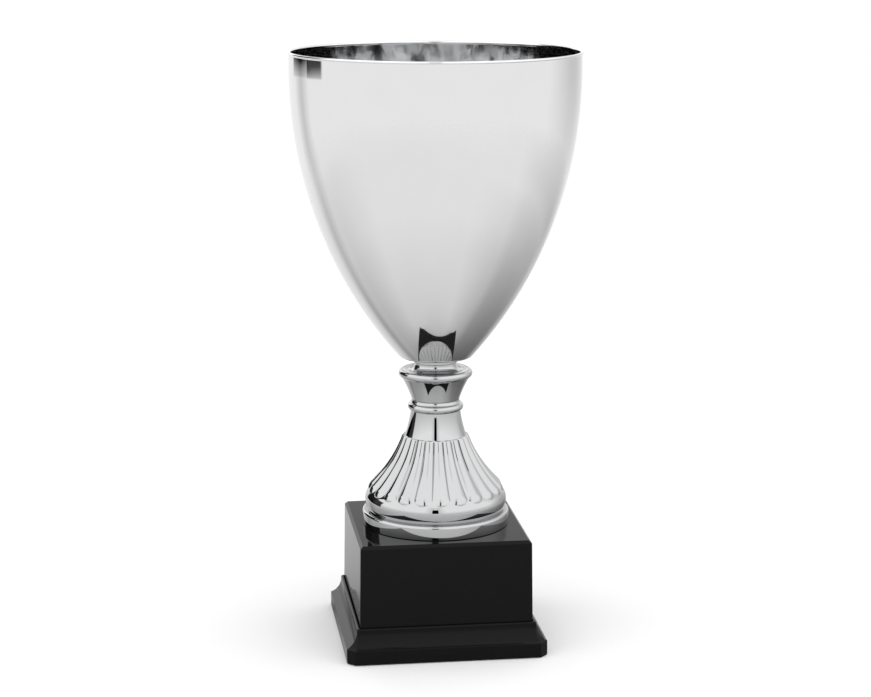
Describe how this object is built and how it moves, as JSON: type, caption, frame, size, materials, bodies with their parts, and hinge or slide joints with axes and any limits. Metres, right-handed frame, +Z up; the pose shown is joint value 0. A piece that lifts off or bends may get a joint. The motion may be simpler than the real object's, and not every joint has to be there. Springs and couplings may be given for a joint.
{
  "type": "cup trophy",
  "caption": "Free-standing cup trophy: polished ogive bowl on a chrome stem with a fluted foot, bolted through a square gloss black pedestal with a coved plinth.",
  "frame": {"origin": "centre of the underside, on the surface that the trophy stands on", "axes": "+Z up along the bowl and stem, front face of the pedestal towards -Y"},
  "size_m": [0.201, 0.201, 0.4135],
  "materials": {
    "polished_plate": "polished silver plate on spun metal",
    "gasket_rubber": "matt rubber",
    "bright_chrome": "bright chrome plate",
    "sleeve_aluminium": "drawn tube",
    "zinc_steel": "bright zinc plate",
    "black_gloss": "gloss black moulding",
    "ballast_iron": "painted casting",
    "hardboard": "smooth hardboard",
    "black_felt": "pressed felt"
  },
  "bodies": {
    "root": {"cup_bowl": "polished_plate", "bowl_cap_nut": "zinc_steel", "bowl_washer": "zinc_steel", "bowl_gasket": "gasket_rubber", "bowl_seat_ring": "bright_chrome", "stem_collar": "bright_chrome", "stem_bead_ring": "bright_chrome", "fluted_foot": "bright_chrome", "foot_plate": "bright_chrome", "rod_sleeve": "sleeve_aluminium", "tie_rod": "zinc_steel", "rod_washer": "zinc_steel", "rod_lock_washer": "zinc_steel", "rod_nut": "zinc_steel", "pedestal_box": "black_gloss", "plinth_frame": "black_gloss", "base_weight": "ballast_iron", "weight_screws": "zinc_steel", "bottom_board": "hardboard", "base_screws": "zinc_steel", "felt_pad": "black_felt"}
  },
  "joints": []
}
